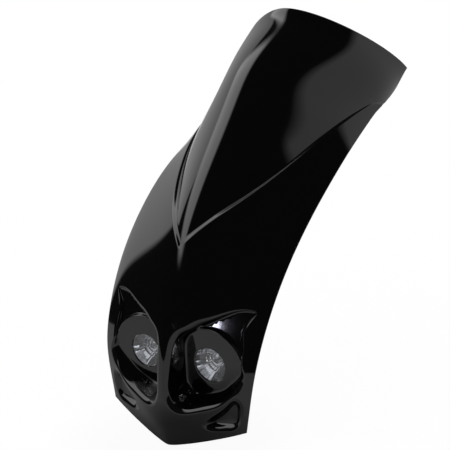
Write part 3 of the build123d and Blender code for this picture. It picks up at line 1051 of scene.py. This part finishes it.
def bowlDepth(radius):
    share = (radius ** 2 - bowl["throat"] ** 2) / (bowl["mouth"] ** 2 - bowl["throat"] ** 2)
    return bowl["throatTop"] - (bowl["throatTop"] - bowl["front"]) * share ** 0.86


def buildBowl(side, sign):
    rim, front, shoulder, neck, end, throat = [bowl[key] for key in ("rim", "front", "shoulder", "neck", "end",
                                                                     "throat")]
    outside = [(bowl["mouth"], front), (rim - 0.3, front), (rim, front + 0.3), (rim, shoulder - 0.2),
               (rim - 0.2, shoulder), (bowl["gasket"], shoulder)]
    for k in range(1, bowl["flankSteps"]):
        t = k / bowl["flankSteps"]
        outside.append((bowl["gasket"] + (neck - bowl["gasket"]) * t ** 1.9,
                        shoulder + (bowl["neckTop"] - shoulder) * t ** 0.9))
    outside += [(neck, bowl["neckTop"]), (neck, end - 0.5), (neck - 0.5, end), (throat + 0.01, end),
                (throat + 0.01, bowl["throatTop"])]
    points, faces = turned(outside, (sign * lamp["x"], 0), bowl["steps"])
    smoothFaces = len(faces)

    def spot(radius, turn, lift=0.0):
        angle = 2 * math.pi * turn / bowl["sectors"]
        reach = radius - 0.7 * lift
        return sign * lamp["x"] + reach * math.cos(angle), bowlDepth(radius) - lift, reach * math.sin(angle)

    # each facet is its own small flat patch, so light breaks up as in a pressed bowl
    rings = bowl["facetRings"]
    for k, (inner, outer) in enumerate(zip(rings, rings[1:])):
        for i in range(bowl["sectors"]):
            turn = i + 0.5 * (k % 2)
            number = len(points)
            points += [spot(inner, turn), spot(inner, turn + 1), spot(outer, turn + 1), spot(outer, turn),
                       spot((inner + outer) / 2, turn + 0.5, 0.5 * bowl["bulge"])]
            faces += [[number + a, number + (a + 1) % 4, number + 4] for a in range(4)]
    piece = meshPiece("reflector" + side.capitalize(), points, faces)
    smooth = [k < smoothFaces for k in range(len(piece.data.polygons))]
    piece.data.polygons.foreach_set("use_smooth", smooth)
    piece.data.set_sharp_from_angle(angle=math.radians(bowl["sharp"]))
    standFor(piece, "lamp_reflector_" + side, "reflector", finishes["reflectorMirror"])


bulb = {"radius": 4.5, "tip": 10.2, "foot": 27.2, "footRadius": 3.5, "pinch": 23.2, "tube": 21.2,
        "steps": 40, "domeSteps": 8, "coilRadius": 0.9, "coilWire": 0.16, "coilTurns": 9, "coilSteps": 10,
        "wireSteps": 6, "coilFrom": 12.6, "coilTo": 17.4}


def buildBulb(side, sign):
    b = bulb
    profile = [(0, b["tip"])]
    for a in np.linspace(0, math.pi / 2, b["domeSteps"] + 1)[1:]:
        profile.append((b["radius"] * math.sin(a), b["tip"] + b["radius"] * (1 - math.cos(a))))
    profile += [(b["radius"], b["tube"]), (b["footRadius"], b["pinch"]), (b["footRadius"], b["foot"]),
                (0, b["foot"])]
    points, faces = turned(profile, (sign * lamp["x"], 0), b["steps"])
    glassFaces = len(faces)
    # the coil of the filament, a wire wound round the lamp's own axis
    t = np.arange(b["coilTurns"] * b["coilSteps"] + 1) / b["coilSteps"]
    coil = np.stack([sign * lamp["x"] + b["coilRadius"] * np.cos(2 * math.pi * t),
                     b["coilFrom"] + (b["coilTo"] - b["coilFrom"]) * t / b["coilTurns"],
                     b["coilRadius"] * np.sin(2 * math.pi * t)], 1)
    first = len(points)
    sides = b["wireSteps"]
    for k, spot in enumerate(coil):
        ahead = coil[min(k + 1, len(coil) - 1)] - coil[max(k - 1, 0)]
        ahead /= np.linalg.norm(ahead)
        out = np.cross(ahead, (0, 1, 0))
        out /= np.linalg.norm(out)
        up = np.cross(ahead, out)
        for i in range(sides):
            a = 2 * math.pi * i / sides
            points.append(tuple(spot + b["coilWire"] * (math.cos(a) * out + math.sin(a) * up)))
    last = first + (len(coil) - 1) * sides
    for c in range(first, last, sides):
        faces += [[c + i, c + (i + 1) % sides, c + sides + (i + 1) % sides, c + sides + i] for i in range(sides)]
    faces += [list(range(first, first + sides)), list(range(last, last + sides))]
    piece = meshPiece("bulb" + side.capitalize(), points, faces)
    for polygon in piece.data.polygons:
        polygon.material_index = 0 if polygon.index < glassFaces else 1
    faceOutwards(piece)
    standFor(piece, "lamp_capsule_" + side, "quartz", finishes["quartz"], finishes["tungsten"])


for side, sign in (("left", -1), ("right", 1)):
    buildLens(side, sign)
    buildBowl(side, sign)
    buildBulb(side, sign)
print("lamps built")


stud = {"radius": 3.0, "core": 2.5, "length": 16.0, "flange": 7.5, "flangeBack": -1.6, "pitch": 1.0,
        "threadFrom": 2.0, "threadLead": 0.8, "wire": 0.55, "steps": 40, "sharp": 40,
        "sites": {"lower_left": (-28, -34), "lower_right": (28, -34), "upper_left": (-28, 34),
                  "upper_right": (28, 34)}}


# Node tree that winds a thread ridge round a stud's core
def threadTree():
    tree = bpy.data.node_groups.new("studThread", "GeometryNodeTree")
    tree.interface.new_socket("Geometry", in_out="INPUT", socket_type="NodeSocketGeometry")
    for name, value in (("Radius", 0.003), ("Height", 0.012), ("Turns", 12.0), ("Ridge", 0.0005)):
        socket = tree.interface.new_socket(name, in_out="INPUT", socket_type="NodeSocketFloat")
        socket.default_value = value
    tree.interface.new_socket("Geometry", in_out="OUTPUT", socket_type="NodeSocketGeometry")
    maker = NodeMaker(tree)
    given = maker.node("NodeGroupInput").outputs
    spiral = maker.node("GeometryNodeCurveSpiral", None, Resolution=20, Rotations=given["Turns"],
                        Start_Radius=given["Radius"], End_Radius=given["Radius"], Height=given["Height"])
    ridge = maker.node("GeometryNodeCurvePrimitiveCircle", None, Resolution=4, Radius=given["Ridge"])
    sweep = maker.node("GeometryNodeCurveToMesh", None, Curve=spiral.outputs[0], Profile_Curve=ridge.outputs[0],
                       Fill_Caps=True)
    join = maker.node("GeometryNodeJoinGeometry", None, Geometry=[given["Geometry"], sweep.outputs[0]])
    realize = maker.node("GeometryNodeRealizeInstances", None, Geometry=join.outputs[0])
    paint = maker.node("GeometryNodeSetMaterial", None, Geometry=realize.outputs[0],
                       Material=finishes["studZinc"])
    maker.node("NodeGroupOutput", None, Geometry=paint.outputs[0])
    return tree


def buildStuds():
    tree = threadTree()
    inputs = {item.name: item.identifier for item in tree.interface.items_tree if item.in_out == "INPUT"}
    radius, core, length, flange, back, start = [stud[key] for key in ("radius", "core", "length", "flange",
                                                                       "flangeBack", "threadFrom")]
    # built along z, then laid over to run back along y
    profile = [(0, back), (flange - 0.3, back), (flange, back + 0.3), (flange, -0.3), (flange - 0.3, 0),
               (radius + 0.4, 0), (radius, 0.4), (radius, start - 0.5), (core, start), (core, length - 0.4),
               (core - 0.5, length), (0, length)]
    height = length - start - 2 * stud["threadLead"]
    threadStart = (start + stud["threadLead"]) * mm
    for name, (x, z) in stud["sites"].items():
        points, faces = turned(profile, (0, 0), stud["steps"])
        blank = meshPiece("studBlank_" + name, [(px, pz, py) for px, py, pz in points], faces)
        faceOutwards(blank)
        modifier = blank.modifiers.new("thread", "NODES")
        modifier.node_group = tree
        for key, value in (("Radius", (radius - stud["wire"]) * mm), ("Height", height * mm),
                           ("Turns", height / stud["pitch"]), ("Ridge", stud["wire"] * mm)):
            modifier[inputs[key]] = value
        blank.data.transform(Matrix.Translation((0, 0, -threadStart)))
        shown = blank.evaluated_get(bpy.context.evaluated_depsgraph_get())
        mesh = bpy.data.meshes.new_from_object(shown)
        bpy.data.objects.remove(blank)
        mesh.transform(Matrix.Translation((0, 0, threadStart)))
        # z becomes y without turning the shape inside out
        mesh.transform(Matrix(((1, 0, 0, x * mm), (0, 0, 1, 0), (0, -1, 0, z * mm), (0, 0, 0, 1))))
        mesh.name = "fixingStud_" + name
        mesh.polygons.foreach_set("use_smooth", [True] * len(mesh.polygons))
        mesh.set_sharp_from_angle(angle=math.radians(stud["sharp"]))
        made = bpy.data.objects.new("fixingStud_" + name, mesh)
        bpy.context.scene.collection.objects.link(made)
        standFor(made, "fixing_stud_" + name, "stud_steel")


buildStuds()
print("studs threaded")


# A plain pale floor and a white backdrop low behind the object; the room in front and above is dim.
# The floor's colour is painted darker near the object (shade, shadeShift, shadeFrom, shadeWidth), a painted
# shadow that shows mostly in reflections
studio = {"floorDrop": 0.004, "floorReach": 4, "floorRoughness": 0.9, "floorLight": 1.03, "floorGlow": 0.92,
          "shade": (0.28, 0.28, 0.28, 1), "shadeShift": (0, 0.03, 0), "shadeFrom": 0.13, "shadeWidth": 0.09,
          "backdropTop": 0.70, "backdropFrom": -0.03, "farSide": 0.62, "nearSide": 1.05, "fade": 0.95,
          "boxFrom": 0.47, "boxBack": 0.40, "boxSide": -0.20, "boxGlow": 2.3, "dim": 0.02, "soft": 0.75}


def makeFloor():
    finish = Finish("paleFloor")
    tone = finish.noise(3, 2, 0.5)
    middle = finish.node("ShaderNodeMapping", None, Vector=finish.place, Location=studio["shadeShift"]).outputs[0]
    distance = finish.value(finish.node("ShaderNodeVectorMath", {"operation": "LENGTH"}, Vector=middle), "Value")
    # painted shadow: the floor's colour is mixed towards the shade grey close to the object
    paintedShadow = (1 - (distance - studio["shadeFrom"]) * (1 / studio["shadeWidth"])).limited()
    pale = finish.ramp(tone, [(0.0, (0.79, 0.79, 0.79, 1)), (1.0, (0.82, 0.82, 0.82, 1))])
    plain = finish.node("ShaderNodeBsdfPrincipled", None, Base_Color=finish.mix(paintedShadow, pale, studio["shade"]),
                        Roughness=studio["floorRoughness"])
    glow = finish.node("ShaderNodeEmission", None, Color=(1, 1, 1, 1), Strength=studio["floorLight"])
    seen = finish.value(finish.node("ShaderNodeLightPath"), "Is Camera Ray")
    both = finish.node("ShaderNodeMixShader", None, Fac=seen * studio["floorGlow"], Shader=plain.outputs[0],
                       Shader_001=glow.outputs[0])
    finish.node("ShaderNodeOutputMaterial", None, Surface=both.outputs[0])
    mesh = bpy.data.meshes.new("floor")
    r, z = studio["floorReach"], cadBox[0][2] - studio["floorDrop"]
    mesh.from_pydata([(-r, -r, z), (r, -r, z), (r, r, z), (-r, r, z)], [], [(0, 1, 2, 3)])
    mesh.materials.append(finish.material)
    floor = bpy.data.objects.new("floor", mesh)
    bpy.context.scene.collection.objects.link(floor)


def makeSurround():
    world = bpy.data.worlds.new("surround")
    bpy.context.scene.world = world
    world.use_nodes = True
    maker = NodeMaker(world.node_tree)
    direction = maker.node("ShaderNodeTexCoord").outputs["Generated"]
    split = maker.node("ShaderNodeSeparateXYZ", None, Vector=direction)
    x, y, z = [maker.value(split, k) for k in range(3)]
    low = ((studio["backdropTop"] - z) * 16).limited()
    behind = ((y - studio["backdropFrom"]) * 14).limited()
    rightwards = (x * 2 + 0.5).limited()
    leftGlow = studio["nearSide"] - studio["fade"] * y
    backdrop = low * behind * (leftGlow + rightwards * (studio["farSide"] - leftGlow))
    box = ((z - studio["boxFrom"]) * 12).limited() * ((studio["boxBack"] - y) * 8).limited()
    box = box * ((studio["boxSide"] - x) * 8).limited()
    backdrop = backdrop * (1 - box) + box * studio["boxGlow"]
    path = maker.node("ShaderNodeLightPath")
    seen = maker.value(path, "Is Camera Ray")
    soft = maker.value(path, "Is Diffuse Ray")
    strength = seen + (1 - seen) * (soft * studio["soft"] + (1 - soft) * (studio["dim"] + backdrop))
    shade = maker.node("ShaderNodeBackground", None, Color=(1, 1, 1, 1), Strength=strength)
    maker.node("ShaderNodeOutputWorld", None, Surface=shade.outputs[0])


# A narrow lamp in front gives the flash in the right pocket
flash = {"place": (-0.133, -1.092, 0.336), "aim": (0.061, 0.007, 0.060), "size": 0.017, "power": 0.7,
         "cone": 3.2, "blend": 0.3, "colour": (0.80, 0.80, 1.0)}


def makeFlash():
    light = bpy.data.lights.new("flash", "SPOT")
    light.shadow_soft_size = flash["size"]
    light.energy = flash["power"]
    light.color = flash["colour"]
    light.spot_size = math.radians(flash["cone"])
    light.spot_blend = flash["blend"]
    made = bpy.data.objects.new("flash", light)
    aim = Vector(flash["aim"]) - Vector(flash["place"])
    made.rotation_euler = aim.to_track_quat("-Z", "Y").to_euler()
    made.location = flash["place"]
    bpy.context.scene.collection.objects.link(made)


makeFloor()
makeSurround()
makeFlash()

view = {"azimuth": 34.05, "elevation": 16.56, "roll": -3.86, "lens": 65.77, "sensor": 36,
        "place": (0.6284, -0.7967, 0.4810)}


def makeCamera():
    a, e, r = [math.radians(view[key]) for key in ("azimuth", "elevation", "roll")]
    back = Vector((math.sin(a) * math.cos(e), -math.cos(a) * math.cos(e), math.sin(e)))
    right = Vector((math.cos(a), math.sin(a), 0))
    up = back.cross(right)
    tiltRight = right * math.cos(r) + up * math.sin(r)
    tiltUp = -right * math.sin(r) + up * math.cos(r)
    camera = bpy.data.objects.new("camera", bpy.data.cameras.new("camera"))
    camera.data.lens = view["lens"]
    camera.data.sensor_width = view["sensor"]
    turn = Matrix((tiltRight, tiltUp, back)).transposed()
    camera.matrix_world = Matrix.Translation(view["place"]) @ turn.to_4x4()
    bpy.context.scene.collection.objects.link(camera)
    bpy.context.scene.camera = camera


makeCamera()
bpy.context.scene.view_settings.view_transform = "Standard"
print("studio set")
